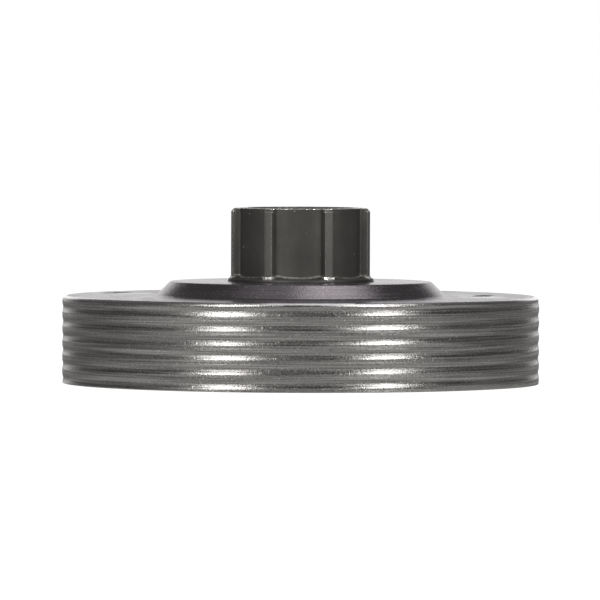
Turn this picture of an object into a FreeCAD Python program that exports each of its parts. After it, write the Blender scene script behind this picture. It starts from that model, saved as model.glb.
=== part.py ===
import FreeCAD, Part
import math
import os

# Clutch drum of a chain saw, with a splined hub that carries a floating chain rim.
# The drum stands on its open rim at z = 0. Its axis is Z and the hub points up.
# Sizes are in millimetres and angles in degrees.

Vec = FreeCAD.Vector
UP = Vec(0, 0, 1)
ORIGIN = Vec(0, 0, 0)

# A rounded corner of a section is a true arc, or two flats that meet in the middle of that arc.
ARC = "arc"
FLATS = "flats"

# Drum cup
drum_outer_diameter = 74.1
drum_wall_thickness = 2.1
drum_height = 13.55
web_thickness = 2.4
drum_top_radius = 0.7
drum_inside_corner_radius = 1.5
rim_outer_chamfer = 0.1
rim_inner_chamfer = 0.4

# Boss pressed up in the middle of the web
boss_top_diameter = 40.6
boss_rise = 2.25
boss_flank_angle = 45.0
boss_edge_radius = 0.35
boss_foot_radius = 0.8
boss_inside_radius = 0.9

# Helical groove cut round the drum wall, right-handed, with its valley nearer its upper shoulder
groove_pitch = 2.2
groove_depth = 0.12
groove_upper_wall_height = 0.52
groove_lower_wall_height = 0.86
groove_height_at_front = 1.44

# Splined part of the hub
hub_height_above_boss = 11.45
spline_count = 7
spline_major_diameter = 21.9
spline_minor_diameter = 19.5
spline_tip_width = 1.32
spline_root_width = 2.0
spline_corner_radius = 0.35
spline_runout_chamfer = 0.3
spline_first_angle = -117.85
spline_top_chamfer = 0.65

# Foot of the hub, where it sits on the boss
hub_foot_height = 0.6
hub_foot_flare = 0.5
hub_foot_edge_height = 0.12

# Spigot below the foot, and the bore for the needle cage
spigot_diameter = 20.4
spigot_braze_clearance = 0.05
spigot_stand_out = 0.5
spigot_edge_chamfer = 0.3
bore_diameter = 16.0
bore_edge_chamfer = 0.4

# Cutting tools overshoot the metal by this much, and the groove's walls by less
tool_overshoot = 1.0
groove_shoulder_overshoot = 0.04

# Sizes worked out from the ones above
drum_outer_radius = drum_outer_diameter / 2
drum_inner_radius = drum_outer_radius - drum_wall_thickness
boss_top_radius = boss_top_diameter / 2
boss_top_z = drum_height + boss_rise
boss_foot_spread = boss_rise / math.tan(math.radians(boss_flank_angle))
web_under_z = drum_height - web_thickness
boss_under_z = boss_top_z - web_thickness
hub_top_z = boss_top_z + hub_height_above_boss
spline_major_radius = spline_major_diameter / 2
spline_minor_radius = spline_minor_diameter / 2
spline_step = 360.0 / spline_count
spigot_radius = spigot_diameter / 2
spigot_low_z = boss_under_z - spigot_stand_out
bore_radius = bore_diameter / 2


def section_wire(corners):
    """Closed wire from corners. A corner is a point, the radius that rounds it, and ARC or FLATS."""
    count = len(corners)
    starts, ends, middles = [], [], []
    for i, (point, radius, _) in enumerate(corners):
        before = (corners[i - 1][0] - point).normalize()
        after = (corners[(i + 1) % count][0] - point).normalize()
        half = before.getAngle(after) / 2
        setback = radius / math.tan(half)
        starts.append(point + before * setback)
        ends.append(point + after * setback)
        reach = radius / math.sin(half) - radius
        middles.append(point + (before + after).normalize() * reach)
    edges = []
    for i, (_, radius, blend) in enumerate(corners):
        if radius and blend == ARC:
            edges.append(Part.Arc(starts[i], middles[i], ends[i]).toShape())
        elif radius:
            edges.append(Part.makeLine(starts[i], middles[i]))
            edges.append(Part.makeLine(middles[i], ends[i]))
        edges.append(Part.makeLine(ends[i], starts[(i + 1) % count]))
    return Part.Wire(edges)


def turned(corners):
    """Solid turned about Z. A corner is its radius, its height, the radius that rounds it and its blend."""
    wire = section_wire([(Vec(r, 0, z), rounding, blend) for r, z, rounding, blend in corners])
    return Part.Face(wire).revolve(ORIGIN, UP, 360)


def polar(radius, angle, z=0.0):
    """Point at a radius and an angle about Z."""
    a = math.radians(angle)
    return Vec(radius * math.cos(a), radius * math.sin(a), z)


def drum_blank():
    """The cup with its dished web, before the groove is cut."""
    # The underside runs parallel to the outside, one web thickness below it.
    under_shift = web_thickness * math.tan(math.radians(boss_flank_angle / 2))
    hole_radius = spigot_radius + spigot_braze_clearance
    return turned([
        (drum_inner_radius + rim_inner_chamfer, 0, 0, ARC),
        (drum_outer_radius - rim_outer_chamfer, 0, 0, ARC),
        (drum_outer_radius, rim_outer_chamfer, 0, ARC),
        (drum_outer_radius, drum_height, drum_top_radius, FLATS),
        (boss_top_radius + boss_foot_spread, drum_height, boss_foot_radius, ARC),
        (boss_top_radius, boss_top_z, boss_edge_radius, ARC),
        (hole_radius, boss_top_z, 0, ARC),
        (hole_radius, boss_under_z, 0, ARC),
        (boss_top_radius - under_shift, boss_under_z, boss_inside_radius, FLATS),
        (boss_top_radius + boss_foot_spread - under_shift, web_under_z, boss_foot_radius, FLATS),
        (drum_inner_radius, web_under_z, drum_inside_corner_radius, FLATS),
        (drum_inner_radius, rim_inner_chamfer, 0, ARC),
    ])


def grooved(blank):
    """The blank with the groove cut round it, one turn of the cutter after another."""
    shoulder_radius = drum_outer_radius + groove_shoulder_overshoot
    outside_radius = drum_outer_radius + tool_overshoot
    # The walls keep their slopes up to the cutter's own shoulders, just outside the drum.
    shoulder_scale = (groove_depth + groove_shoulder_overshoot) / groove_depth
    upper_reach = groove_upper_wall_height * shoulder_scale
    lower_reach = groove_lower_wall_height * shoulder_scale
    # A turn starts on +X, a quarter turn after the front of the drum.
    start_z = (groove_height_at_front + groove_pitch / 4) % groove_pitch - 2 * groove_pitch
    turn_count = math.ceil((drum_height + lower_reach - start_z) / groove_pitch)
    path = Part.makeHelix(groove_pitch, groove_pitch, drum_outer_radius)
    cutter = Part.makePolygon([
        Vec(drum_outer_radius - groove_depth, 0, 0),
        Vec(shoulder_radius, 0, upper_reach),
        Vec(outside_radius, 0, upper_reach),
        Vec(outside_radius, 0, -lower_reach),
        Vec(shoulder_radius, 0, -lower_reach),
        Vec(drum_outer_radius - groove_depth, 0, 0),
    ])
    turn = Part.Wire(path.Edges).makePipeShell([cutter], True, True)
    for i in range(turn_count):
        blank = blank.cut(turn.translated(Vec(0, 0, start_z + i * groove_pitch)))
    return blank


def drum_shell():
    """Steel cup with the groove cut into its wall."""
    return grooved(drum_blank())


def hub_blank():
    """Turned hub: spigot, flared foot, chamfered cylinder and bore."""
    flare_low_z = boss_top_z + hub_foot_edge_height
    return turned([
        (bore_radius + bore_edge_chamfer, spigot_low_z, 0, ARC),
        (spigot_radius - spigot_edge_chamfer, spigot_low_z, 0, ARC),
        (spigot_radius, spigot_low_z + spigot_edge_chamfer, 0, ARC),
        (spigot_radius, boss_top_z, 0, ARC),
        (spline_major_radius + hub_foot_flare, boss_top_z, 0, ARC),
        (spline_major_radius + hub_foot_flare, flare_low_z, 0, ARC),
        (spline_major_radius, flare_low_z + hub_foot_flare, 0, ARC),
        (spline_major_radius, hub_top_z - spline_top_chamfer, 0, ARC),
        (spline_major_radius - spline_top_chamfer, hub_top_z, 0, ARC),
        (bore_radius + bore_edge_chamfer, hub_top_z, 0, ARC),
        (bore_radius, hub_top_z - bore_edge_chamfer, 0, ARC),
        (bore_radius, spigot_low_z + bore_edge_chamfer, 0, ARC),
    ])


def spline_gap_tool():
    """Cutter for the gap between two splines, centred on +X, rounded at its corners and bevelled at its end."""
    tip_reach = math.sqrt(spline_major_radius ** 2 - (spline_tip_width / 2) ** 2)
    root_reach = math.sqrt(spline_minor_radius ** 2 - (spline_root_width / 2) ** 2)
    flank_slope = (spline_root_width - spline_tip_width) / 2 / (tip_reach - root_reach)
    outer_reach = tip_reach + tool_overshoot
    outer_half_width = spline_tip_width / 2 - tool_overshoot * flank_slope
    end_z = boss_top_z + hub_foot_height

    def flank_point(reach, half_width, side):
        """Point on the near flank of the spline that lies half a step to one side."""
        from_spline = math.degrees(math.atan2(half_width, reach))
        return polar(math.hypot(reach, half_width), side * (spline_step / 2 - from_spline), end_z)

    root_right = flank_point(root_reach, spline_root_width / 2, -1)
    root_left = flank_point(root_reach, spline_root_width / 2, 1)
    outer_right = flank_point(outer_reach, outer_half_width, -1)
    outer_left = flank_point(outer_reach, outer_half_width, 1)
    floor_middle = polar(spline_minor_radius, 0, end_z)
    outer_middle = polar(math.hypot(outer_reach, outer_half_width), 0, end_z)
    outline = Part.Wire([
        Part.Arc(root_right, floor_middle, root_left).toShape(),
        Part.makeLine(root_left, outer_left),
        Part.Arc(outer_left, outer_middle, outer_right).toShape(),
        Part.makeLine(outer_right, root_right),
    ])
    tool = Part.Face(outline).extrude(Vec(0, 0, hub_top_z + tool_overshoot - end_z))

    def in_hub(edge):
        """Whether the middle of an edge lies inside the hub's own outline."""
        return math.hypot(edge.CenterOfMass.x, edge.CenterOfMass.y) < spline_major_radius

    def is_root_corner(edge):
        return in_hub(edge) and edge.BoundBox.ZLength > hub_height_above_boss / 2

    def is_end_edge(edge):
        return in_hub(edge) and abs(edge.CenterOfMass.z - end_z) < hub_foot_edge_height / 2

    tool = tool.makeFillet(spline_corner_radius, [e for e in tool.Edges if is_root_corner(e)])
    return tool.makeChamfer(spline_runout_chamfer, [e for e in tool.Edges if is_end_edge(e)])


def splined_hub():
    """Hub with the gaps between its splines cut away."""
    gap_tool = spline_gap_tool()
    hub = hub_blank()
    for i in range(spline_count):
        cutter = gap_tool.copy()
        cutter.rotate(ORIGIN, UP, spline_first_angle + (i + 0.5) * spline_step)
        hub = hub.cut(cutter)
    return hub


def write(name, shape):
    """Write one checked solid to its own file."""
    solids = shape.Solids
    if len(solids) != 1 or not solids[0].isValid():
        raise ValueError(name + " is not one valid solid")
    solids[0].exportStep("parts/" + name + ".step")
    print(name, round(solids[0].Volume, 2), "mm3")


os.makedirs("parts", exist_ok=True)
write("drum_shell", drum_shell())
write("splined_hub", splined_hub())
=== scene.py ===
import logging
import math
from dataclasses import dataclass, field
from enum import Enum
from typing import Any, Callable, Dict, List, Optional, Sequence, Tuple, Union

import bmesh
import bpy
import numpy as np
from mathutils import Matrix, Vector


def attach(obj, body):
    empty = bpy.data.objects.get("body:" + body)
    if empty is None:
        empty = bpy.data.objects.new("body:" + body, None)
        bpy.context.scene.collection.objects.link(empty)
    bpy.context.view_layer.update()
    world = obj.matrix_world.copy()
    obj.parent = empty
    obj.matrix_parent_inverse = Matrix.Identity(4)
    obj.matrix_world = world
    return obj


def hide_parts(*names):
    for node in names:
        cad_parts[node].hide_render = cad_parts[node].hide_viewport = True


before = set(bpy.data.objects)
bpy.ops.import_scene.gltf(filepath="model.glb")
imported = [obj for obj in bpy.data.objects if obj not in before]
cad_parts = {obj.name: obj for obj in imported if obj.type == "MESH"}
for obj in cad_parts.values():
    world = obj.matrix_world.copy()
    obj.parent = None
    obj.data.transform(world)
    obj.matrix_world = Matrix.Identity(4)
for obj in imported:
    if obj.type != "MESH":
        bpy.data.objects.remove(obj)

LOG = logging.getLogger("clutch_drum")
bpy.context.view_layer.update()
MILLIMETRE = 0.001
FULL_TURN = 2 * math.pi
TOLERANCE = 1e-4
# Vertex attribute for real scraping on the hub and for its painted highlight and painted shade.
WEAR_AND_PAINTED_LIGHT = "wear_and_painted_light"
EDGE_VECTOR = 0.7
MIDDLE_OF_ARC = 0.29

Point = Tuple[float, float]
Colour = Tuple[float, float, float]


class Slot(Enum):
    """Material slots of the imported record."""

    TURNED_STEEL = "turned_steel"
    BLACK_OXIDE = "black_oxide_steel"


# Modelling by hand


@dataclass(frozen=True)
class Corner:
    """One corner of a turned outline, in millimetres from the axis and above the floor."""

    radius: float
    height: float
    setback: float = 0.0
    segments: int = 0


class Bench:
    """Edit-mode work on one mesh at a time.

    Pieces are drawn in millimetres and scaled to metres when they are finished.
    """

    @staticmethod
    def clear_selection() -> None:
        """Leave edit mode and deselect every object."""
        if bpy.context.object and bpy.context.object.mode != "OBJECT":
            bpy.ops.object.mode_set(mode="OBJECT")
        bpy.ops.object.select_all(action="DESELECT")

    @staticmethod
    def draw_outline(name: str, corners: Sequence[Corner]) -> bpy.types.Object:
        """Draw a closed outline in the XZ plane by extruding one vertex from corner to corner.

        Args:
            name: The new piece's name.
            corners: The outline's corners in order.

        Returns:
            The new object, left in edit mode.
        """
        Bench.clear_selection()
        first = corners[0]
        bpy.ops.mesh.primitive_plane_add(size=1.0, location=(0, 0, 0))
        piece = bpy.context.object
        piece.name = name
        piece.data.name = name
        bpy.ops.object.mode_set(mode="EDIT")
        bpy.ops.mesh.select_mode(type="VERT")
        bpy.ops.mesh.select_all(action="SELECT")
        bpy.ops.mesh.merge(type="CENTER")
        bpy.ops.transform.translate(value=(first.radius, 0, first.height))
        for before, after in zip(corners, corners[1:]):
            step = (after.radius - before.radius, 0, after.height - before.height)
            bpy.ops.mesh.extrude_vertices_move(TRANSFORM_OT_translate={"value": step})
        last = corners[-1]
        Bench.select_vertices(lambda co: Bench.is_at(co, first) or Bench.is_at(co, last))
        bpy.ops.mesh.edge_face_add()
        return piece

    @staticmethod
    def is_at(co: Vector, corner: Corner) -> bool:
        """Whether a vertex of an outline lies at a corner."""
        return abs(co.x - corner.radius) < TOLERANCE and abs(co.z - corner.height) < TOLERANCE

    @staticmethod
    def select_vertices(test: Callable[[Vector], bool]) -> None:
        """Select the vertices of the edited mesh that pass a test, and nothing else.

        Args:
            test: Takes a vertex's place and says whether it is wanted.
        """
        bpy.ops.mesh.select_mode(type="VERT")
        mesh = bmesh.from_edit_mesh(bpy.context.object.data)
        for vertex in mesh.verts:
            vertex.select = test(vertex.co)
        mesh.select_flush(True)
        mesh.select_flush(False)
        bmesh.update_edit_mesh(bpy.context.object.data)

    @staticmethod
    def select_edges(test: Callable[[Vector, Vector], bool]) -> None:
        """Select the edges of the edited mesh whose two ends pass a test, and nothing else.

        Args:
            test: Takes the places of an edge's ends and says whether it is wanted.
        """
        bpy.ops.mesh.select_all(action="DESELECT")
        bpy.ops.mesh.select_mode(type="EDGE")
        mesh = bmesh.from_edit_mesh(bpy.context.object.data)
        for edge in mesh.edges:
            edge.select_set(test(edge.verts[0].co, edge.verts[1].co))
        bmesh.update_edit_mesh(bpy.context.object.data)

    @staticmethod
    def round_corners(corners: Sequence[Corner]) -> None:
        """Bevel the outline's vertices at every corner that has a setback.

        Args:
            corners: The outline's corners.
        """
        for corner in corners:
            if corner.setback:
                Bench.select_vertices(lambda co: Bench.is_at(co, corner))
                bpy.ops.mesh.bevel(
                    offset_type="OFFSET", offset=corner.setback, segments=corner.segments, affect="VERTICES"
                )

    @staticmethod
    def divide(test: Callable[[Vector, Vector], bool], cuts: int) -> None:
        """Subdivide the edges that pass a test.

        Args:
            test: Takes the places of an edge's ends.
            cuts: How many vertices are added on each edge.
        """
        Bench.select_edges(test)
        bpy.ops.mesh.subdivide(number_cuts=cuts)

    @staticmethod
    def turn(columns: int) -> None:
        """Spin the drawn outline once round the Z axis and close its seam.

        Args:
            columns: How many steps the full turn has.
        """
        bpy.ops.mesh.select_mode(type="VERT")
        bpy.ops.mesh.select_all(action="SELECT")
        bpy.ops.mesh.spin(steps=columns, angle=FULL_TURN, center=(0, 0, 0), axis=(0, 0, 1))
        bpy.ops.mesh.select_all(action="SELECT")
        bpy.ops.mesh.remove_doubles(threshold=TOLERANCE)
        bpy.ops.mesh.normals_make_consistent(inside=False)
        bpy.ops.object.mode_set(mode="OBJECT")

    @staticmethod
    def reshape(piece: bpy.types.Object, move: Callable[[np.ndarray], np.ndarray]) -> None:
        """Move all the vertices of a piece by one function of their places.

        Args:
            piece: The piece, in object mode.
            move: Takes the places as rows of X, Y, Z and returns the new ones.
        """
        places = np.empty(len(piece.data.vertices) * 3)
        piece.data.vertices.foreach_get("co", places)
        piece.data.vertices.foreach_set("co", move(places.reshape(-1, 3)).ravel())
        piece.data.update()

    @staticmethod
    def write_attribute(piece: bpy.types.Object, name: str, values: np.ndarray) -> None:
        """Store one number for each vertex of a piece.

        Args:
            piece: The piece, in object mode.
            name: The attribute's name.
            values: The numbers.
        """
        attribute = piece.data.attributes.new(name, "FLOAT", "POINT")
        attribute.data.foreach_set("value", values.astype(np.float32))

    @staticmethod
    def finish(piece: bpy.types.Object, sharp_angle: float) -> None:
        """Merge doubles, face all faces outwards, scale to metres and shade smooth between sharp edges.

        Args:
            piece: The piece, still in millimetres.
            sharp_angle: Edges bent by more than this many degrees stay sharp.
        """
        Bench.clear_selection()
        piece.select_set(True)
        bpy.context.view_layer.objects.active = piece
        bpy.ops.object.mode_set(mode="EDIT")
        bpy.ops.mesh.select_mode(type="VERT")
        bpy.ops.mesh.select_all(action="SELECT")
        bpy.ops.mesh.remove_doubles(threshold=TOLERANCE)
        bpy.ops.mesh.normals_make_consistent(inside=False)
        bpy.ops.object.mode_set(mode="OBJECT")
        piece.data.transform(Matrix.Scale(MILLIMETRE, 4))
        bpy.ops.object.shade_smooth_by_angle(angle=math.radians(sharp_angle))
        bpy.ops.object.select_all(action="DESELECT")


def report(piece: bpy.types.Object) -> None:
    """Log a piece's name and how many triangles it has."""
    piece.data.calc_loop_triangles()
    LOG.info("%s: %d triangles", piece.name, len(piece.data.loop_triangles))


# Shader nodes


Number = Union[int, float]


class Signal:
    """A value socket that takes part in Python expressions, each of which adds its Math nodes."""

    def __init__(self, desk: "NodeDesk", socket: bpy.types.NodeSocket) -> None:
        """Wrap a socket.

        Args:
            desk: The desk whose node tree the socket is in.
            socket: The output socket.
        """
        self.desk = desk
        self.socket = socket

    def math(self, operation: str, *operands: Any) -> "Signal":
        """Add a Math node.

        Args:
            operation: The node's operation.
            operands: Its inputs in order, numbers or signals.

        Returns:
            The node's result.
        """
        return self.desk.value("ShaderNodeMath", {"operation": operation}, dict(enumerate(operands)))

    def __add__(self, other: Any) -> "Signal":
        """Sum."""
        return self.math("ADD", self, other)

    def __radd__(self, other: Any) -> "Signal":
        """Sum with a number on the left."""
        return self.math("ADD", other, self)

    def __sub__(self, other: Any) -> "Signal":
        """Difference."""
        return self.math("SUBTRACT", self, other)

    def __rsub__(self, other: Any) -> "Signal":
        """Difference from a number on the left."""
        return self.math("SUBTRACT", other, self)

    def __mul__(self, other: Any) -> "Signal":
        """Product."""
        return self.math("MULTIPLY", self, other)

    def __rmul__(self, other: Any) -> "Signal":
        """Product with a number on the left."""
        return self.math("MULTIPLY", other, self)

    def __truediv__(self, other: Any) -> "Signal":
        """Quotient."""
        return self.math("DIVIDE", self, other)

    def __pow__(self, other: Any) -> "Signal":
        """Power."""
        return self.math("POWER", self, other)

    def lowest(self, other: Any) -> "Signal":
        """The smaller of two values."""
        return self.math("MINIMUM", self, other)

    def highest(self, other: Any) -> "Signal":
        """The larger of two values."""
        return self.math("MAXIMUM", self, other)

    def rise(self, start: Number, end: Number) -> "Signal":
        """Go smoothly from 0 at one value to 1 at another, in either direction.

        Args:
            start: Where the result is 0.
            end: Where the result is 1.

        Returns:
            The smooth step.
        """
        low, high, first, last = (start, end, 0.0, 1.0) if start < end else (end, start, 1.0, 0.0)
        settings = {"interpolation_type": "SMOOTHSTEP"}
        inputs = {"Value": self, "From Min": low, "From Max": high, "To Min": first, "To Max": last}
        return self.desk.value("ShaderNodeMapRange", settings, inputs)


class NodeDesk:
    """Builds one node tree, with one method for every kind of node."""

    def __init__(self, tree: bpy.types.NodeTree) -> None:
        """Start with an empty tree.

        Args:
            tree: The tree of a material or a world.
        """
        self.tree = tree
        tree.nodes.clear()

    def add(self, kind: str, settings: Dict[str, Any], inputs: Dict[Any, Any]) -> bpy.types.Node:
        """Add a node.

        Args:
            kind: The node's type.
            settings: Its own settings, set before its sockets.
            inputs: Values, colours or links for its sockets, by name or number.

        Returns:
            The node.
        """
        node = self.tree.nodes.new(kind)
        for name, value in settings.items():
            setattr(node, name, value)
        for key, value in inputs.items():
            if isinstance(value, Signal):
                value = value.socket
            if isinstance(value, bpy.types.NodeSocket):
                self.tree.links.new(value, node.inputs[key])
            else:
                node.inputs[key].default_value = value
        return node

    def value(
        self, kind: str, settings: Dict[str, Any], inputs: Dict[Any, Any], output: Union[int, str] = 0
    ) -> Signal:
        """Add a node and take one of its value outputs.

        Args:
            kind: The node's type.
            settings: Its own settings.
            inputs: Its sockets' values or links.
            output: The output's name or number.

        Returns:
            The output as a signal.
        """
        return Signal(self, self.add(kind, settings, inputs).outputs[output])

    def place(self) -> Tuple[bpy.types.NodeSocket, Signal, Signal, Signal]:
        """The shaded point in the object's own coordinates, in metres.

        Returns:
            The vector, and its X, Y and Z.
        """
        vector = self.add("ShaderNodeTexCoord", {}, {}).outputs["Object"]
        parts = self.add("ShaderNodeSeparateXYZ", {}, {0: vector}).outputs
        return vector, Signal(self, parts[0]), Signal(self, parts[1]), Signal(self, parts[2])

    def vector(self, x: Any, y: Any, z: Any) -> bpy.types.NodeSocket:
        """Join three values into a vector."""
        return self.add("ShaderNodeCombineXYZ", {}, {0: x, 1: y, 2: z}).outputs[0]

    def noise(
        self, vector: bpy.types.NodeSocket, scale: float, detail: float, roughness: float = 0.5
    ) -> Signal:
        """Noise texture.

        Args:
            vector: Where it is read.
            scale: Its scale.
            detail: How many octaves it has.
            roughness: How strong the finer octaves are.

        Returns:
            Its value, about 0.5 on average.
        """
        inputs = {"Vector": vector, "Scale": scale, "Detail": detail, "Roughness": roughness}
        return self.value("ShaderNodeTexNoise", {"noise_dimensions": "3D"}, inputs, "Fac")

    def mix(self, factor: Any, first: Any, second: Any) -> bpy.types.NodeSocket:
        """Mix two colours.

        Args:
            factor: How much of the second colour shows.
            first: A colour or a colour socket.
            second: Another one.

        Returns:
            The colour socket.
        """
        node = self.add("ShaderNodeMix", {"data_type": "RGBA"}, {"Factor": factor})
        for key, value in (("A", first), ("B", second)):
            socket = [s for s in node.inputs if s.name == key and s.type == "RGBA"][0]
            if isinstance(value, bpy.types.NodeSocket):
                self.tree.links.new(value, socket)
            else:
                socket.default_value = (*value, 1.0)
        return [s for s in node.outputs if s.type == "RGBA"][0]

    def bump(
        self, height: Signal, strength: float, distance: float, normal: Any = None
    ) -> bpy.types.NodeSocket:
        """Bump node.

        Args:
            height: The relief, where 1 is a bump of the given distance.
            strength: How much of it shows.
            distance: The relief's height in metres.
            normal: The normal of another Bump node to build on.

        Returns:
            The bent normal.
        """
        inputs = {"Height": height, "Strength": strength, "Distance": distance}
        if normal is not None:
            inputs["Normal"] = normal
        return self.add("ShaderNodeBump", {}, inputs).outputs[0]

    def surface(self, shader: bpy.types.NodeSocket, output: str = "ShaderNodeOutputMaterial") -> None:
        """Send a shader to the tree's output."""
        self.add(output, {}, {"Surface": shader})


# Finishes


@dataclass(frozen=True)
class Mark:
    """A soft-edged oval mark seen from above. Lengths are in millimetres."""

    middle: Point
    turn: float
    half_length: float
    half_width: float

    def mask(self, x: Signal, y: Signal, blur: Signal) -> Signal:
        """Where the mark is.

        Args:
            x: The shaded point's X in metres.
            y: Its Y.
            blur: Noise that makes the mark's edge uneven.

        Returns:
            1 inside the mark and 0 outside it.
        """
        c, s = math.cos(math.radians(self.turn)), math.sin(math.radians(self.turn))
        dx, dy = x - self.middle[0] * MILLIMETRE, y - self.middle[1] * MILLIMETRE
        along = (c * dx + s * dy) / (self.half_length * MILLIMETRE)
        across = (c * dy - s * dx) / (self.half_width * MILLIMETRE)
        return ((along * along + across * across) ** 0.5 + 1.6 * (blur - 0.5)).rise(1.15, 0.7)


@dataclass(frozen=True)
class DrumSteel:
    """Turned and blasted steel of the drum: fine rings round its axis, grit, a violet cast on the web,
    painted shade in the plate's dents with painted highlight beside them, and a painted highlight along the
    top corner.
    """

    wall_colour: Colour = (0.46, 0.448, 0.43)
    wall_dark: Colour = (0.185, 0.178, 0.172)
    web_colour: Colour = (0.36, 0.325, 0.35)
    web_dark: Colour = (0.25, 0.225, 0.245)
    stain: Colour = (0.13, 0.12, 0.125)
    # Painted shade: near-black colour that darkens the dents on the plate.
    dent_painted_shade: Colour = (0.03, 0.029, 0.030)
    # Painted highlight: pale colour for lit patches beside the dents.
    painted_highlight_colour: Colour = (0.72, 0.70, 0.70)
    # The top corner's near-white colour: a scuffed edge of the steel, and also a painted highlight line along
    # the corner.
    corner_wear_and_highlight: Colour = (0.86, 0.83, 0.85)
    pit_colour: Colour = (0.05, 0.048, 0.046)
    speck_colour: Colour = (0.62, 0.61, 0.58)
    roughness: float = 0.29
    anisotropy: float = 0.35
    ring_length: float = 55.0
    ring_width: float = 5200.0
    ring_slant: float = 1.7
    ring_relief: float = 0.000007
    grit_relief: float = 0.00002
    speck_relief: float = 0.00001
    plate_inner: Point = (0.0222, 0.0232)
    plate_outer: Point = (0.0368, 0.0362)
    plate_height: Point = (0.0130, 0.0135)
    web_radius: Point = (0.0366, 0.0362)
    edge_height: Point = (0.01317, 0.01331)
    edge_radius: Point = (0.0362, 0.0364)
    dents: Tuple[Mark, Mark] = (Mark((-28.8, 13.6), 64.0, 4.6, 1.2), Mark((28.4, 2.6), 80.0, 3.4, 1.7))
    # Ovals on the plate where a painted highlight lightens the colour beside the dents.
    painted_highlight_patches: Tuple[Mark, Mark] = (Mark((-26.2, 8.0), 30.0, 3.6, 1.5), Mark((28.6, -5.0), 10.0, 2.8, 2.0))
    scuff: Mark = Mark((2.2, -36.6), 0.0, 7.5, 2.5)

    def build(self, name: str) -> bpy.types.Material:
        """Make the material.

        Args:
            name: The material's name.

        Returns:
            The material.
        """
        material = bpy.data.materials.new(name)
        material.use_nodes = True
        desk = NodeDesk(material.node_tree)
        vector, x, y, z = desk.place()
        radius = (x * x + y * y) ** 0.5
        on_web = radius.rise(*self.web_radius)
        on_plate = radius.rise(*self.plate_inner) * radius.rise(*self.plate_outer)
        on_plate = on_plate * z.rise(*self.plate_height)
        on_edge = z.rise(*self.edge_height) * radius.rise(*self.edge_radius)

        # The rings lie round the wall and the web alike, as height and radius are read together.
        across = (z + self.ring_slant * radius) * self.ring_width
        rings = desk.noise(desk.vector(x * self.ring_length, y * self.ring_length, across), 1.0, 2.0, 0.6)
        grit = desk.noise(vector, 5000.0, 1.0, 0.6)
        cloud = desk.noise(vector, 70.0, 4.0)
        pits = desk.noise(vector, 2600.0, 1.0).rise(0.30, 0.24)
        specks = desk.noise(vector, 3900.0, 0.0).rise(0.72, 0.80)
        blotch = desk.noise(vector, 330.0, 4.0, 0.62)
        dents, painted_highlight_patches = (
            left.mask(x, y, blotch).highest(right.mask(x, y, blotch))
            for left, right in (self.dents, self.painted_highlight_patches)
        )
        scuffed = self.scuff.mask(x, y, blotch)

        tone = 0.72 * rings + 0.18 * grit + 0.10 * cloud
        wall = desk.mix(tone.rise(0.36, 0.64), self.wall_dark, self.wall_colour)
        web = desk.mix(tone.rise(0.28, 0.72), self.web_dark, self.web_colour)
        web = desk.mix(blotch.rise(0.64, 0.34) * on_plate * 0.22, web, self.stain)
        # Painted shade: the dents are darkened in colour instead of being pressed into the mesh, and made
        # duller and less metallic.
        web = desk.mix(dents * on_plate * 0.8, web, self.dent_painted_shade)
        # Painted highlight: pale patches beside the dents, which are also a little smoother.
        web = desk.mix(painted_highlight_patches * on_plate * 0.3, web, self.painted_highlight_colour)
        colour = desk.mix(on_web, wall, web)
        # Painted highlight: the rounded top corner turns near-white, a scuffed edge made much brighter to
        # stand for the line of light along it.
        colour = desk.mix(on_edge, colour, self.corner_wear_and_highlight)
        colour = desk.mix(pits * 0.6, colour, self.pit_colour)
        colour = desk.mix(specks * 0.7, colour, self.speck_colour)

        # Seen nearly edge on, the plate shows its marks by how dull they are, and hardly by their colour.
        roughness = self.roughness - 0.04 * on_web + (0.28 * scuffed - 0.12) * on_edge
        roughness = roughness + 0.10 * (rings - 0.5) + 0.25 * (grit - 0.5)
        dull = dents * 0.65 + blotch.rise(0.56, 0.42) * 0.06 - painted_highlight_patches * 0.10
        roughness = roughness + dull * on_plate
        relief = desk.bump(rings, 1.0, self.ring_relief)
        relief = desk.bump(grit, 1.0, self.grit_relief, relief)
        relief = desk.bump(specks - pits, 0.5, self.speck_relief, relief)
        shader = desk.add(
            "ShaderNodeBsdfPrincipled",
            {},
            {
                "Base Color": colour,
                "Metallic": 1 - dents * on_plate * 0.9,
                "Roughness": roughness,
                "Normal": relief,
                "Anisotropic": self.anisotropy,
                "Anisotropic Rotation": 0.25,
            },
        )
        desk.surface(shader.outputs[0])
        return material


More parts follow.
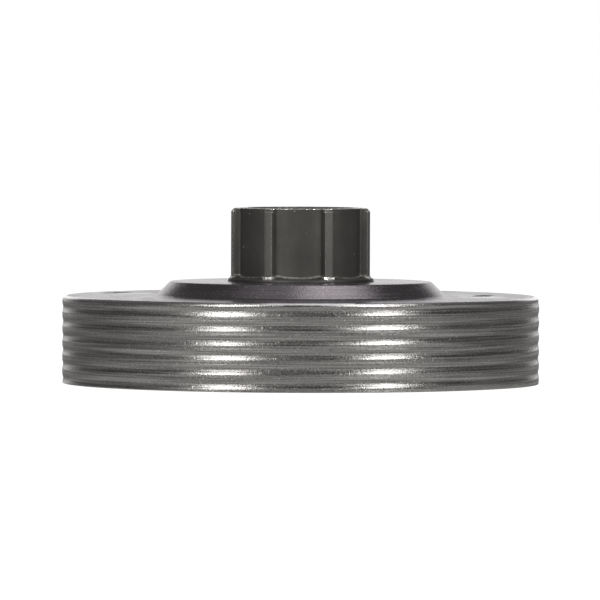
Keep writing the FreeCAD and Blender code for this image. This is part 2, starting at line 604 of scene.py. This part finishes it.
@dataclass(frozen=True)
class BlackOxide:
    """Satin black oxide of the hub, scraped bright where its edges stand out, with painted highlight at the
    spline feet and the top edge and painted shade at its foot.
    """

    colour: Colour = (0.093, 0.0905, 0.082)
    dark: Colour = (0.064, 0.062, 0.057)
    bare_and_highlight: Colour = (0.74, 0.72, 0.69)
    # Painted shade for the hub's foot, where it stands in the boss.
    foot_painted_shade: Colour = (0.028, 0.027, 0.026)
    roughness: float = 0.52
    metallic: float = 0.75
    grain_relief: float = 0.00001
    cloud_relief: float = 0.00002
    wear_relief: float = 0.00009
    land_radius: Point = (0.0108, 0.0109)
    top_height: Point = (0.02722, 0.02724)

    def build(self, name: str) -> bpy.types.Material:
        """Make the material.

        Args:
            name: The material's name.

        Returns:
            The material.
        """
        material = bpy.data.materials.new(name)
        material.use_nodes = True
        desk = NodeDesk(material.node_tree)
        vector, x, y, z = desk.place()
        radius = (x * x + y * y) ** 0.5
        cloud = desk.noise(vector, 260.0, 4.0)
        grain = desk.noise(vector, 5200.0, 2.0, 0.6)
        scratches = desk.noise(desk.vector(x * 900, y * 900, z * 160), 1.0, 3.0)
        tone = (0.55 * cloud + 0.2 * grain + 0.25 * scratches).rise(0.30, 0.70)
        colour = desk.mix(tone, self.dark, self.colour)
        on_land = radius.rise(*self.land_radius)
        colour = desk.mix(on_land * 0.06, colour, self.bare_and_highlight)
        on_top = z.rise(*self.top_height)

        # The attribute holds real scraping and painted light: positive values give uncoated steel and painted
        # highlight, negative ones painted shade.
        wear_and_painted_light = desk.value("ShaderNodeAttribute", {"attribute_name": WEAR_AND_PAINTED_LIGHT}, {}, "Fac")
        patchy = desk.noise(vector, 1500.0, 3.0).rise(0.44, 0.60)
        chips = desk.noise(vector, 2400.0, 0.0).rise(0.865, 0.885)
        # Uncoated steel colour where the attribute is positive: real scraping and chips, and painted
        # highlight on the lip and the top edge.
        bare_and_highlight = (wear_and_painted_light.highest(0.0) * (0.30 + 0.70 * patchy)).highest(chips)
        # Painted shade: negative values of the attribute darken the foot and the collar towards black.
        painted_shade = (0 - wear_and_painted_light).highest(0.0)
        colour = desk.mix(painted_shade, colour, self.foot_painted_shade)
        colour = desk.mix(bare_and_highlight.lowest(1.0), colour, self.bare_and_highlight)
        roughness = self.roughness + 0.10 * (grain - 0.5) - (bare_and_highlight * 0.34).highest(on_top * 0.30)
        relief = desk.bump(grain, 0.3, self.grain_relief)
        relief = desk.bump(cloud, 0.3, self.cloud_relief, relief)
        relief = desk.bump(bare_and_highlight * desk.noise(vector, 2300.0, 1.0), 1.0, self.wear_relief, relief)
        shader = desk.add(
            "ShaderNodeBsdfPrincipled",
            {},
            {
                "Base Color": colour,
                "Metallic": self.metallic,
                "Roughness": roughness,
                "Normal": relief,
            },
        )
        desk.surface(shader.outputs[0])
        return material


# Pieces


@dataclass
class Groove:
    """The shallow right-handed helical groove round the drum."""

    pitch: float = 2.2
    depth: float = 0.12
    upper_wall: float = 0.53
    lower_wall: float = 0.88
    height_at_front: float = 1.44
    lower_wall_curve: float = 0.85
    valley_blend: float = 0.04
    shoulder_blend: float = 0.015

    def depth_at(self, angle: np.ndarray, height: np.ndarray) -> np.ndarray:
        """How deep the groove is at points of the wall.

        Args:
            angle: The points' angles about the axis, in radians from +X.
            height: Their heights.

        Returns:
            The depths, never below zero.
        """
        valley = self.height_at_front + self.pitch * (angle / FULL_TURN + 0.25)
        away = (height - valley + self.lower_wall + self.shoulder_blend) % self.pitch
        away = away - self.lower_wall - self.shoulder_blend
        deepest = self.depth + self.valley_blend / 4
        upper = deepest - away * deepest / self.upper_wall
        down = -away / self.lower_wall
        bend = self.lower_wall_curve
        lower = deepest * (1 - down * (1 - bend) - down * np.abs(down) * bend)
        valley_round = np.maximum(self.valley_blend - np.abs(upper - lower), 0) / self.valley_blend
        cut = np.minimum(upper, lower) - valley_round**2 * self.valley_blend / 4
        shoulder_round = np.maximum(self.shoulder_blend - np.abs(cut), 0) / self.shoulder_blend
        return np.maximum(cut, 0) + shoulder_round**2 * self.shoulder_blend / 4


@dataclass
class DrumShell:
    """Steel cup of the drum: grooved wall, plate with a conical boss, dished underside."""

    outer_radius: float = 37.05
    wall_thickness: float = 2.1
    height: float = 13.55
    web_thickness: float = 2.4
    top_radius: float = 0.7
    inside_radius: float = 1.5
    rim_outer_chamfer: float = 0.1
    rim_inner_chamfer: float = 0.4
    boss_radius: float = 20.3
    boss_rise: float = 2.25
    boss_edge_radius: float = 0.35
    boss_foot_radius: float = 0.8
    boss_inside_radius: float = 0.9
    hole_radius: float = 10.25
    columns: int = 288
    groove: Groove = field(default_factory=Groove)
    finish: DrumSteel = field(default_factory=DrumSteel)

    def corners(self) -> List[Corner]:
        """The outline of the cup's section, anticlockwise from the rim.

        Returns:
            The corners.
        """
        inner = self.outer_radius - self.wall_thickness
        foot = self.boss_radius + self.boss_rise
        shift = self.web_thickness * math.tan(math.radians(22.5))
        top = self.height + self.boss_rise
        under = self.height - self.web_thickness
        boss_under = top - self.web_thickness
        slant = math.tan(math.radians(22.5))
        return [
            Corner(inner + self.rim_inner_chamfer, 0),
            Corner(self.outer_radius - self.rim_outer_chamfer, 0),
            Corner(self.outer_radius, self.rim_outer_chamfer),
            Corner(self.outer_radius, self.height, self.top_radius, 14),
            Corner(foot, self.height, self.boss_foot_radius * slant, 4),
            Corner(self.boss_radius, top, self.boss_edge_radius * slant, 4),
            Corner(self.hole_radius, top),
            Corner(self.hole_radius, boss_under),
            Corner(self.boss_radius - shift, boss_under, self.boss_inside_radius * slant, 3),
            Corner(foot - shift, under, self.boss_foot_radius * slant, 3),
            Corner(inner, under, self.inside_radius, 6),
            Corner(inner, self.rim_inner_chamfer),
        ]

    def carve(self, places: np.ndarray) -> np.ndarray:
        """Press the wall in where the groove runs.

        Args:
            places: The vertices' places in millimetres.

        Returns:
            Their new places.
        """
        radius = np.hypot(places[:, 0], places[:, 1])
        angle = np.arctan2(places[:, 1], places[:, 0])
        limit = self.outer_radius - self.groove.depth_at(angle, places[:, 2])
        outside = radius > self.outer_radius - self.wall_thickness / 2
        scale = np.where(outside, np.minimum(limit / radius, 1.0), 1.0)
        moved = places.copy()
        moved[:, :2] *= scale[:, None]
        return moved

    def build(self) -> bpy.types.Object:
        """Model the cup and dress it.

        Returns:
            The finished piece.
        """
        corners = self.corners()
        piece = Bench.draw_outline("drum_cup", corners)
        Bench.round_corners(corners)

        def on_wall(a: Vector, b: Vector) -> bool:
            """Whether an edge of the outline lies on the outer wall."""
            return min(a.x, b.x) > self.outer_radius - 1e-3

        def on_plate(a: Vector, b: Vector) -> bool:
            """Whether an edge of the outline lies on the flat plate."""
            foot = self.boss_radius + self.boss_rise
            return min(a.z, b.z) > self.height - 1e-3 and min(a.x, b.x) > foot

        Bench.divide(on_wall, 1)
        Bench.divide(on_wall, 90)
        Bench.divide(on_plate, 24)
        Bench.turn(self.columns)
        Bench.reshape(piece, self.carve)
        Bench.finish(piece, 32.0)
        piece.data.materials.append(self.finish.build("turned_drum_steel"))
        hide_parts("drum_shell")
        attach(piece, "root")
        report(piece)
        return piece


@dataclass(frozen=True)
class Row:
    """One row of the hub's outline: its size, how it bends over a gap, and its scraping and painted light.

    Spread is how far the gap's outline has moved into the gap, and is None where there is no gap.
    Lift is its share of the lip's rise beside a spline.
    Its values go from -1, painted shade, to 1, uncoated steel that is partly real scraping and partly painted
    highlight, on a spline and in a gap.
    """

    radius: float
    height: float
    spread: Optional[float] = None
    lift: float = 0.0
    land_wear_and_light: float = 0.0
    gap_wear_and_light: float = 0.0


@dataclass
class SplinedHub:
    """Dark hub with seven splines, a flared foot, a spigot and a bore."""

    top: float = 27.25
    seat: float = 15.8
    major_radius: float = 10.95
    minor_radius: float = 9.75
    tip_half_width: float = 0.66
    root_half_width: float = 1.0
    corner_radius: float = 0.35
    runout_radius: float = 0.34
    tip_edge: float = 0.055
    tip_draw: float = 0.27
    top_edge: float = 0.09
    top_chamfer: float = 0.52
    gap_end: float = 16.4
    lip_rise: float = 0.28
    foot_reach: float = 0.5
    collar_reach: float = 0.3
    collar_height: float = 0.5
    spigot_radius: float = 10.2
    spigot_low: float = 12.9
    spigot_chamfer: float = 0.3
    bore_radius: float = 8.0
    bore_chamfer: float = 0.4
    splines: int = 7
    first_angle: float = -117.85
    blank_radius: float = 20.0
    top_rows: int = 5
    finish: BlackOxide = field(default_factory=BlackOxide)

    def half_sector(self) -> List[Tuple[Point, Point]]:
        """Plan of half a spline and half a gap, from the middle of the spline on +X.

        Returns:
            Points of the plan, each with the unit vector that points from the metal into the gap there.
        """
        tip_reach = math.sqrt(self.major_radius**2 - self.tip_half_width**2)
        root_reach = math.sqrt(self.minor_radius**2 - self.root_half_width**2)
        along = Vector((tip_reach - root_reach, self.tip_half_width - self.root_half_width)).normalized()
        into_gap = Vector((-along.y, along.x))
        root = Vector((root_reach, self.root_half_width))
        tip = Vector((tip_reach, self.tip_half_width))
        edge_angle = math.asin(self.tip_half_width / self.major_radius)
        edge_start = edge_angle - self.tip_edge / self.major_radius

        # The corner's arc touches the flank and the floor circle from outside.
        base = root + into_gap * self.corner_radius
        reach = self.minor_radius + self.corner_radius
        half_b = base.dot(along)
        travel = -half_b + math.sqrt(half_b**2 - base.length_squared + reach**2)
        centre = base + along * travel
        flank_end = root + along * travel
        floor_start = centre * (self.minor_radius / reach)

        points = [
            ((self.major_radius * math.cos(a), self.major_radius * math.sin(a)), (0.0, 0.0))
            for a in (edge_start * k / 3 for k in range(4))
        ]
        flank_start = tip - along * self.tip_edge
        # The corner's middle point is drawn in to make a small round edge.
        draw = self.tip_draw * self.tip_edge
        corner = tip * (1 - draw / self.major_radius) - into_gap * draw
        points.append((tuple(corner), tuple(into_gap * EDGE_VECTOR)))
        points.append((tuple(flank_start), tuple(into_gap)))
        points.append((tuple((flank_start + flank_end) / 2), tuple(into_gap)))
        start_angle = math.atan2(flank_end.y - centre.y, flank_end.x - centre.x)
        end_angle = math.atan2(floor_start.y - centre.y, floor_start.x - centre.x)
        sweep = (end_angle - start_angle + math.pi) % FULL_TURN - math.pi
        for k in range(7):
            a = start_angle + sweep * k / 6
            outward = (math.cos(a), math.sin(a))
            points.append((
                (centre.x + self.corner_radius * outward[0], centre.y + self.corner_radius * outward[1]),
                (-outward[0], -outward[1]),
            ))
        floor_angle = math.atan2(floor_start.y, floor_start.x)
        half_step = math.pi / self.splines
        for k in range(1, 10):
            a = floor_angle + (half_step - floor_angle) * k / 9
            points.append((
                (self.minor_radius * math.cos(a), self.minor_radius * math.sin(a)),
                (math.cos(a), math.sin(a)),
            ))
        return points

    def plan(self) -> Tuple[np.ndarray, np.ndarray]:
        """Plan of the whole hub.

        Returns:
            The points and the vectors into the gaps, as rows in the order of the columns.
        """
        half = self.half_sector()
        mirrored = [((x, -y), (u, -v)) for (x, y), (u, v) in reversed(half[1:-1])]
        sector = half + mirrored
        points, normals = [], []
        for k in range(self.splines):
            turn = Matrix.Rotation(FULL_TURN * k / self.splines, 2)
            # The second half of a sector belongs to the next spline.
            ahead = Matrix.Rotation(FULL_TURN * (k + 1) / self.splines, 2)
            for i, (point, normal) in enumerate(sector):
                matrix = turn if i < len(half) else ahead
                points.append(matrix @ Vector(point))
                normals.append(matrix @ Vector(normal))
        return np.array(points), np.array(normals)

    def rows(self) -> List[Row]:
        """The turned outline row by row, from the bore's lower edge up to the foot of the top chamfer.

        Returns:
            The rows.
        """
        foot = self.major_radius + self.foot_reach
        collar = self.major_radius + self.collar_reach
        collar_top = self.seat + self.collar_height
        rows = [
            Row(self.bore_radius, self.spigot_low + self.bore_chamfer),
            Row(self.bore_radius + self.bore_chamfer, self.spigot_low),
            Row(self.spigot_radius - self.spigot_chamfer, self.spigot_low),
            Row(self.spigot_radius, self.spigot_low + self.spigot_chamfer),
            Row(self.spigot_radius, self.seat),
            # The foot and the collar get negative values: painted shade where the hub meets the boss.
            Row(foot, self.seat, land_wear_and_light=-0.8, gap_wear_and_light=-0.8),
            Row(collar + 0.08, self.seat + 0.08, land_wear_and_light=-0.9, gap_wear_and_light=-0.9),
            Row(collar + 0.03, self.seat + 0.22, land_wear_and_light=-0.9, gap_wear_and_light=-0.9),
            Row(collar + 0.01, self.seat + 0.28, land_wear_and_light=-0.6, gap_wear_and_light=-0.6),
            Row(collar, collar_top - 0.05, land_wear_and_light=-0.3, gap_wear_and_light=-0.6),
            Row(collar - 0.05, collar_top, land_wear_and_light=0.6, gap_wear_and_light=-0.3),
        ]
        # The lip where the gaps run out: positive values paint a highlight on its rising fillet as uncoated
        # steel.
        for k in range(7):
            a = math.pi / 2 * k / 6
            height = self.gap_end + self.runout_radius * (1 - math.cos(a))
            spread = self.runout_radius * (1 - math.sin(a))
            land_wear_and_light = 0.85 if k < 2 else 0.0
            gap_wear_and_light = (0.0, 0.5, 0.5, 0.35, 0.2, 0.1, 0.0)[k]
            rows.append(Row(self.major_radius, height, spread, 1.0, land_wear_and_light, gap_wear_and_light))
        wall_low = self.gap_end + self.runout_radius
        wall_high = self.top - self.top_chamfer
        rows.append(Row(self.major_radius, wall_low + 0.1, 0.0, 1.0))
        for k in range(1, 8):
            height = wall_low + (wall_high - wall_low) * k / 8
            rows.append(Row(self.major_radius, height, 0.0, (1 - k / 8) ** 4))
        rows.append(Row(self.major_radius, wall_high - 0.09, 0.0))
        # The edge at the foot of the chamfer: partly real scraping, partly painted highlight.
        rows.append(Row(self.major_radius, wall_high, 0.0, land_wear_and_light=1.0))
        rows.append(Row(self.major_radius - 0.12, wall_high + 0.12, 0.0, land_wear_and_light=0.15))
        rows.append(Row(self.major_radius - self.top_chamfer + 0.1, self.top - 0.1, 0.0, land_wear_and_light=0.15))
        return rows

    def build_mesh(self) -> bpy.types.Object:
        """Turn the blank, move its rows and columns on to the splines, and note where it is scraped and where
        highlight and shade are painted.

        Returns:
            The piece, in millimetres.
        """
        rows = self.rows()
        points, normals = self.plan()
        count = len(points)
        # The flat blank has its rows 1 mm apart, so that a vertex's radius gives the number of its row.
        corners = [Corner(self.blank_radius + i, 0.0) for i in range(len(rows) + self.top_rows)]
        piece = Bench.draw_outline("splined_hub_body", corners)
        Bench.turn(count)
        wear_and_painted_light = np.zeros(len(piece.data.vertices))
        size = np.linalg.norm(points, axis=1)
        direction = points / size[:, None]
        step = FULL_TURN / self.splines
        aside = np.abs((np.arctan2(points[:, 1], points[:, 0]) % step) / step - 0.5) * 2
        on_land = size > self.major_radius - self.tip_edge
        gap_edge = aside[~on_land].max()
        rise = self.lip_rise * np.where(on_land, 1.0, np.minimum(aside / (0.9 * gap_edge), 1.0) ** 3)
        # Only the points on the corners of the splines have a vector of this length.
        on_edge = np.isclose(np.hypot(normals[:, 0], normals[:, 1]), EDGE_VECTOR, atol=0.001)

        def shape(places: np.ndarray) -> np.ndarray:
            """Send each vertex of the numbered blank to its place on the hub."""
            radius = np.hypot(places[:, 0], places[:, 1])
            angle = np.arctan2(places[:, 1], places[:, 0])
            row = np.rint(radius - self.blank_radius).astype(int)
            column = np.rint(angle / FULL_TURN * count).astype(int) % count
            moved = np.empty_like(places)
            for i, line in enumerate(rows):
                here = row == i
                j = column[here]
                if line.spread is None:
                    moved[here, :2] = direction[j] * line.radius
                else:
                    plan = points[j] + normals[j] * line.spread
                    reach = np.linalg.norm(plan, axis=1)
                    moved[here, :2] = plan * np.minimum(line.radius / reach, 1.0)[:, None]
                moved[here, 2] = line.height + line.lift * rise[j]
                wear_and_painted_light[here] = np.where(on_land[j], line.land_wear_and_light, line.gap_wear_and_light)
                # The corners of the splines are lightened too: real scraping, with some painted highlight.
                if line.spread == 0.0:
                    wear_and_painted_light[here] = np.maximum(wear_and_painted_light[here], 0.45 * on_edge[j])
            self.close_top(row - len(rows), column, points, moved, wear_and_painted_light)
            return moved

        Bench.reshape(piece, shape)
        Bench.write_attribute(piece, WEAR_AND_PAINTED_LIGHT, wear_and_painted_light)
        return piece

    def close_top(
        self, row: np.ndarray, column: np.ndarray, points: np.ndarray, moved: np.ndarray, wear_and_painted_light: np.ndarray
    ) -> None:
        """Place the rows of the rounded top edge, the top face and the bore's upper edge.

        Args:
            row: Row numbers, from 0 for the first row of the top.
            column: Column numbers.
            points: The plan of the hub.
            moved: The vertices' new places, filled in here.
            wear_and_painted_light: The vertices' scraping and painted light, filled in here.
        """
        size = np.linalg.norm(points, axis=1)
        direction = points / size[:, None]
        edge = np.minimum(size, self.major_radius - self.top_chamfer)
        top_rows = [
            # The top edge is lightened: partly real scraping, partly a painted highlight of the bright dots
            # along it.
            (edge, self.top - self.top_edge, 0.9),
            (edge - MIDDLE_OF_ARC * self.top_edge, self.top - MIDDLE_OF_ARC * self.top_edge, 1.0),
            (edge - self.top_edge, self.top, 0.6),
            (np.full_like(size, self.bore_radius + self.bore_chamfer), self.top, 0.2),
            (np.full_like(size, self.bore_radius), self.top - self.bore_chamfer, 0.0),
        ]
        for i, (reach, height, worn_and_lit) in enumerate(top_rows):
            here = row == i
            j = column[here]
            moved[here, :2] = direction[j] * reach[j][:, None]
            moved[here, 2] = height
            wear_and_painted_light[here] = worn_and_lit

    def build(self) -> bpy.types.Object:
        """Model the hub and dress it.

        Returns:
            The finished piece.
        """
        piece = self.build_mesh()
        piece.data.transform(Matrix.Rotation(math.radians(self.first_angle), 4, "Z"))
        Bench.finish(piece, 38.0)
        piece.data.materials.append(self.finish.build("black_oxide"))
        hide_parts("splined_hub")
        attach(piece, "root")
        report(piece)
        return piece


# Studio


@dataclass(frozen=True)
class Softbox:
    """One soft lamp, placed by its direction from the object.

    Azimuth goes from the front to the right, in degrees. Strength is its brightness, where 1 is white.
    """

    name: str
    azimuth: float
    elevation: float
    distance: float
    width: float
    height: float
    strength: float
    colour: Colour = (1.0, 1.0, 1.0)

    def build(self) -> bpy.types.Object:
        """Hang the lamp so that it faces the object.

        Returns:
            The lamp.
        """
        lamp = bpy.data.lights.new(self.name, "AREA")
        lamp.shape = "RECTANGLE"
        lamp.size = self.width
        lamp.size_y = self.height
        lamp.energy = self.strength * math.pi * self.width * self.height
        lamp.color = self.colour
        holder = bpy.data.objects.new(self.name, lamp)
        a, e = math.radians(self.azimuth), math.radians(self.elevation)
        towards = Vector((math.sin(a) * math.cos(e), -math.cos(a) * math.cos(e), math.sin(e)))
        holder.location = towards * self.distance
        holder.rotation_mode = "QUATERNION"
        holder.rotation_quaternion = towards.to_track_quat("Z", "Y")
        holder.visible_camera = False
        bpy.context.scene.collection.objects.link(holder)
        return holder


@dataclass
class Studio:
    """Pale floor, white surroundings and soft lamps."""

    floor_radius: float = 3.0
    floor_drop: float = 0.00002
    floor_glow: float = 0.985
    floor_paint: float = 0.12
    floor_in_gloss: float = 0.57
    floor_behind_in_gloss: float = 0.25
    floor_turns_dim: Point = (-0.75, 0.05)
    room_low: float = 0.60
    room_high: float = 0.12
    room_back: float = 1.0
    lamps: Tuple[Softbox, ...] = (
        Softbox("softbox_left", -37.6, 34.0, 1.2, 0.25, 0.98, 11.8),
        Softbox("softbox_right", 41.8, 34.0, 1.2, 0.24, 0.98, 11.8),
        Softbox("softbox_over", 103.0, 75.0, 1.2, 0.46, 0.62, 1.08),
    )

    def floor(self) -> bpy.types.Object:
        """Lay the floor, which is white for the camera and keeps the object's shadow.

        Returns:
            The floor.
        """
        Bench.clear_selection()
        bpy.ops.mesh.primitive_circle_add(
            vertices=64, radius=self.floor_radius, fill_type="NGON", location=(0, 0, -self.floor_drop)
        )
        floor = bpy.context.object
        floor.name = "floor"
        material = bpy.data.materials.new("pale_floor")
        material.use_nodes = True
        desk = NodeDesk(material.node_tree)
        path = desk.add("ShaderNodeLightPath", {}, {})
        white = (1.0, 1.0, 1.0, 1.0)
        paint = self.floor_paint
        matt = desk.add("ShaderNodeBsdfDiffuse", {}, {"Color": (paint, paint, paint, 1.0)})
        glow = desk.add("ShaderNodeEmission", {}, {"Color": white, "Strength": self.floor_glow})
        seen = desk.add("ShaderNodeAddShader", {}, {0: matt.outputs[0], 1: glow.outputs[0]})
        pale = desk.add("ShaderNodeBsdfDiffuse", {}, {"Color": (0.6, 0.6, 0.6, 1.0)})
        _, x, y, _ = desk.place()
        # Reflections see the floor darker at the sides and behind than in front.
        behind = (y / (x * x + y * y) ** 0.5).rise(*self.floor_turns_dim)
        gloss, dim_gloss = self.floor_in_gloss, self.floor_behind_in_gloss
        light = desk.mix(behind, (gloss, gloss, gloss), (dim_gloss, dim_gloss, dim_gloss))
        dim = desk.add("ShaderNodeEmission", {}, {"Color": light, "Strength": 1.0})
        unseen = desk.add(
            "ShaderNodeMixShader",
            {},
            {0: path.outputs["Is Glossy Ray"], 1: pale.outputs[0], 2: dim.outputs[0]},
        )
        above = desk.add(
            "ShaderNodeMixShader",
            {},
            {0: path.outputs["Is Camera Ray"], 1: unseen.outputs[0], 2: seen.outputs[0]},
        )
        clear = desk.add("ShaderNodeBsdfTransparent", {}, {})
        below = desk.add("ShaderNodeNewGeometry", {}, {}).outputs["Backfacing"]
        sides = {0: below, 1: above.outputs[0], 2: clear.outputs[0]}
        shader = desk.add("ShaderNodeMixShader", {}, sides)
        desk.surface(shader.outputs[0])
        floor.data.materials.append(material)
        return floor

    def surroundings(self) -> None:
        """Make the world: white for the camera, and for the rest a dim room, white low down behind."""
        world = bpy.data.worlds.new("studio")
        bpy.context.scene.world = world
        world.use_nodes = True
        desk = NodeDesk(world.node_tree)
        direction = desk.add("ShaderNodeTexCoord", {}, {}).outputs["Generated"]
        parts = desk.add("ShaderNodeSeparateXYZ", {}, {0: direction}).outputs
        height = Signal(desk, parts[2])
        high = height.rise(-0.02, 0.08)
        # The backdrop ends low down, and the ceiling is a little brighter overhead.
        low_behind = Signal(desk, parts[1]).rise(0.80, 0.95) * height.rise(0.44, 0.28)
        room = self.room_low + (self.room_high - self.room_low) * high
        room = room + (self.room_back - self.room_high) * low_behind
        room = room - 0.025 * height.rise(0.3, 0.6) + 0.16 * height.rise(0.88, 0.95)
        path = desk.add("ShaderNodeLightPath", {}, {})
        camera = Signal(desk, path.outputs["Is Camera Ray"])
        strength = camera + (1 - camera) * room
        white = (1.0, 1.0, 1.0, 1.0)
        shader = desk.add("ShaderNodeBackground", {}, {"Color": white, "Strength": strength})
        desk.surface(shader.outputs[0], "ShaderNodeOutputWorld")

    def build(self) -> None:
        """Build the floor, the surroundings and the lamps."""
        self.floor()
        self.surroundings()
        for lamp in self.lamps:
            lamp.build()
        bpy.context.scene.view_settings.view_transform = "Standard"


@dataclass(frozen=True)
class Viewpoint:
    """The photograph's camera, in metres and degrees."""

    distance: float = 1.244
    height: float = 0.0515
    aim_x: float = -0.00012
    aim_height: float = 0.0129
    roll: float = 0.192
    lens: float = 480.3
    sensor: float = 36.0

    def build(self) -> bpy.types.Object:
        """Set up the camera.

        Returns:
            The camera.
        """
        data = bpy.data.cameras.new("camera")
        data.lens = self.lens
        data.sensor_width = self.sensor
        data.clip_start = 0.05
        data.clip_end = 50.0
        camera = bpy.data.objects.new("camera", data)
        place = Vector((self.aim_x, -self.distance, self.height))
        aim = Vector((self.aim_x, 0.0, self.aim_height))
        turn = (aim - place).to_track_quat("-Z", "Y").to_matrix().to_4x4()
        roll = Matrix.Rotation(math.radians(self.roll), 4, "Z")
        camera.matrix_world = Matrix.Translation(place) @ turn @ roll
        bpy.context.scene.collection.objects.link(camera)
        bpy.context.scene.camera = camera
        return camera


def main() -> None:
    """Build the camera, the studio and the two pieces."""
    logging.basicConfig(level=logging.INFO, format="%(message)s")
    Viewpoint().build()
    Studio().build()
    DrumShell().build()
    SplinedHub().build()


if __name__ == "__main__":
    main()
